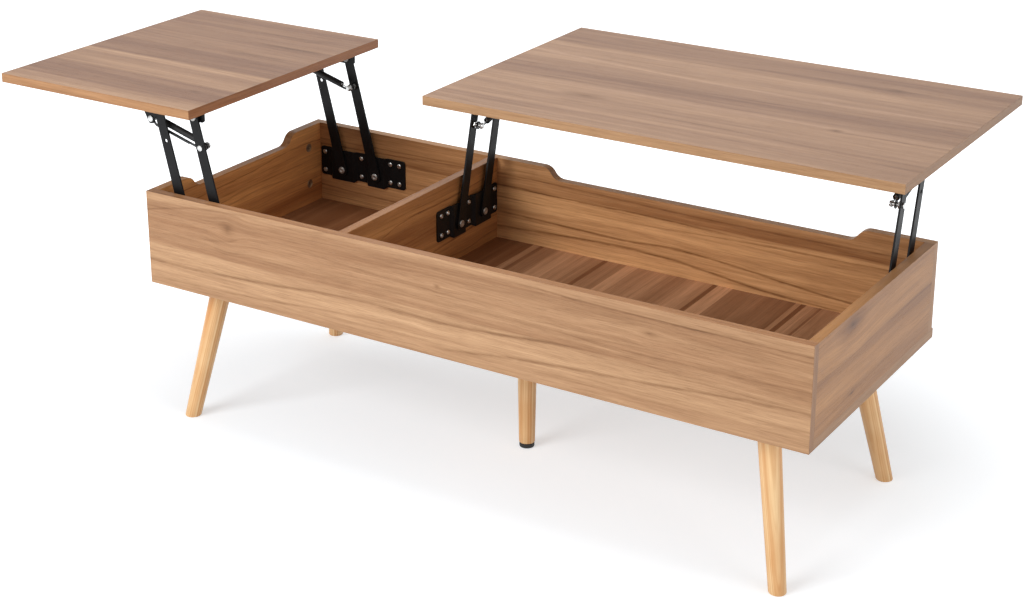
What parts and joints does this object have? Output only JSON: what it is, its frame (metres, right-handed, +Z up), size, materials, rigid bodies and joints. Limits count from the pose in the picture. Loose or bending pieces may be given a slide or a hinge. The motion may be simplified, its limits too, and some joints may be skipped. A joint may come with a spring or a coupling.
{
  "type": "convertible lift-top coffee table",
  "caption": "Box coffee table on splayed round legs whose two tops lift and shift outward on parallel-arm hinges over open storage wells.",
  "frame": {"origin": "on the floor under the centre leg's levelling foot, the middle of the box in plan", "axes": "+X along the table's length towards the large top's right end, +Y away from the front panel towards the rear, +Z up; both tops are raised at rest"},
  "size_m": [1.4569, 0.7569, 0.5536],
  "materials": {
    "walnut_top": "satin walnut-look foil, straight grain along the table",
    "walnut_front": "satin walnut-look foil, cathedral grain along the table",
    "walnut_back": "satin walnut-look foil",
    "walnut_ends": "satin walnut-look foil, grain across the table",
    "walnut_divider": "satin walnut-look foil with a light edge band",
    "walnut_floor": "satin walnut-look foil, grain across the table",
    "light_wood": "clear satin lacquer on light pine",
    "beech_dowel": "raw fluted wood",
    "black_plastic": "matte black",
    "black_rubber": "matte black",
    "black_steel": "satin black paint",
    "black_screws": "black plated, worn bright on the edges",
    "zinc_cam": "die-cast zinc",
    "zinc_plate": "zinc plated",
    "rivet_steel": "nickel plated",
    "spring_steel": "bright spring wire",
    "plated_steel": "nickel plated"
  },
  "bodies": {
    "table_frame": {"front_panel": "walnut_front", "back_panel": "walnut_back", "left_end_panel": "walnut_ends", "right_end_panel": "walnut_ends", "divider": "walnut_divider", "bottom_board": "walnut_floor", "cam_locks": "zinc_cam", "cam_bolts": "plated_steel", "panel_dowels": "beech_dowel", "bottom_board_screws": "plated_steel", "corner_leg_plates": "zinc_plate", "centre_leg_plate": "zinc_plate", "leg_plate_screws": "plated_steel", "leg_hanger_bolts": "plated_steel", "front_left_leg": "light_wood", "front_right_leg": "light_wood", "back_left_leg": "light_wood", "back_right_leg": "light_wood", "centre_leg": "light_wood", "hinge_plate_screws": "black_screws", "base_pivot_rivets": "rivet_steel", "small_front_hinge_plate": "black_steel", "small_back_hinge_plate": "black_steel", "large_left_hinge_plate": "black_steel", "large_right_hinge_plate": "black_steel"},
    "levelling_foot": {"levelling_foot": "black_plastic"},
    "small_front_lead_arm": {"small_front_lead_arm": "black_steel"},
    "small_front_trail_arm": {"small_front_trail_arm": "black_steel", "small_front_spring_bolt": "plated_steel"},
    "small_back_lead_arm": {"small_back_lead_arm": "black_steel"},
    "small_back_trail_arm": {"small_back_trail_arm": "black_steel", "small_back_spring_bolt": "plated_steel"},
    "small_top": {"small_top_panel": "walnut_top", "small_front_top_rail": "black_steel", "small_back_top_rail": "black_steel", "small_rail_screws": "black_screws", "small_rail_rivets": "rivet_steel", "small_ear_studs": "plated_steel", "small_lift_springs": "spring_steel", "small_spring_sleeves": "black_rubber", "small_guide_wires": "black_steel"},
    "large_left_lead_arm": {"large_left_lead_arm": "black_steel"},
    "large_left_trail_arm": {"large_left_trail_arm": "black_steel", "large_left_spring_bolt": "plated_steel"},
    "large_right_lead_arm": {"large_right_lead_arm": "black_steel"},
    "large_right_trail_arm": {"large_right_trail_arm": "black_steel", "large_right_spring_bolt": "plated_steel"},
    "large_top": {"large_top_panel": "walnut_top", "large_left_top_rail": "black_steel", "large_right_top_rail": "black_steel", "large_rail_screws": "black_screws", "large_rail_rivets": "rivet_steel", "large_ear_studs": "plated_steel", "large_lift_springs": "spring_steel", "large_spring_sleeves": "black_rubber", "large_guide_wires": "black_steel"}
  },
  "joints": [
    {"name": "small_top_lift", "type": "hinge", "parent": "table_frame", "child": "small_front_lead_arm", "pos_m": [-0.5086, -0.2035, 0.318], "axis": [0, 1, 0], "range_deg": [0, 86.31], "deforming": ["small_lift_springs", "small_spring_sleeves", "small_guide_wires"]},
    {"name": "small_front_trail_arm_swing", "type": "hinge", "parent": "table_frame", "child": "small_front_trail_arm", "pos_m": [-0.4373, -0.2035, 0.318], "axis": [0, 1, 0], "range_deg": [0, 86.31]},
    {"name": "small_back_lead_arm_swing", "type": "hinge", "parent": "table_frame", "child": "small_back_lead_arm", "pos_m": [-0.5086, 0.2035, 0.318], "axis": [0, 1, 0], "range_deg": [0, 86.31]},
    {"name": "small_back_trail_arm_swing", "type": "hinge", "parent": "table_frame", "child": "small_back_trail_arm", "pos_m": [-0.4373, 0.2035, 0.318], "axis": [0, 1, 0], "range_deg": [0, 86.31]},
    {"name": "small_top_level", "type": "hinge", "parent": "small_front_lead_arm", "child": "small_top", "pos_m": [-0.56061, -0.2035, 0.52661], "axis": [0, 1, 0], "range_deg": [-86.31, 0]},
    {"name": "large_top_lift", "type": "hinge", "parent": "table_frame", "child": "large_left_lead_arm", "pos_m": [-0.1815, 0.1586, 0.318], "axis": [1, 0, 0], "range_deg": [0, 86.31], "deforming": ["large_lift_springs", "large_spring_sleeves", "large_guide_wires"]},
    {"name": "large_left_trail_arm_swing", "type": "hinge", "parent": "table_frame", "child": "large_left_trail_arm", "pos_m": [-0.1815, 0.0873, 0.318], "axis": [1, 0, 0], "range_deg": [0, 86.31]},
    {"name": "large_right_lead_arm_swing", "type": "hinge", "parent": "table_frame", "child": "large_right_lead_arm", "pos_m": [0.5535, 0.1586, 0.318], "axis": [1, 0, 0], "range_deg": [0, 86.31]},
    {"name": "large_right_trail_arm_swing", "type": "hinge", "parent": "table_frame", "child": "large_right_trail_arm", "pos_m": [0.5535, 0.0873, 0.318], "axis": [1, 0, 0], "range_deg": [0, 86.31]},
    {"name": "large_top_level", "type": "hinge", "parent": "large_left_lead_arm", "child": "large_top", "pos_m": [-0.1815, 0.21061, 0.52661], "axis": [1, 0, 0], "range_deg": [-86.31, 0]},
    {"name": "levelling_foot_screw", "type": "slide", "parent": "table_frame", "child": "levelling_foot", "axis": [0, 0, -1], "range_m": [0, 0.01]}
  ],
  "couplings": [
    {"joint": "small_front_trail_arm_swing", "follows": "small_top_lift", "ratio": 1},
    {"joint": "small_back_lead_arm_swing", "follows": "small_top_lift", "ratio": 1},
    {"joint": "small_back_trail_arm_swing", "follows": "small_top_lift", "ratio": 1},
    {"joint": "small_top_level", "follows": "small_top_lift", "ratio": -1},
    {"joint": "large_left_trail_arm_swing", "follows": "large_top_lift", "ratio": 1},
    {"joint": "large_right_lead_arm_swing", "follows": "large_top_lift", "ratio": 1},
    {"joint": "large_right_trail_arm_swing", "follows": "large_top_lift", "ratio": 1},
    {"joint": "large_top_level", "follows": "large_top_lift", "ratio": -1}
  ]
}
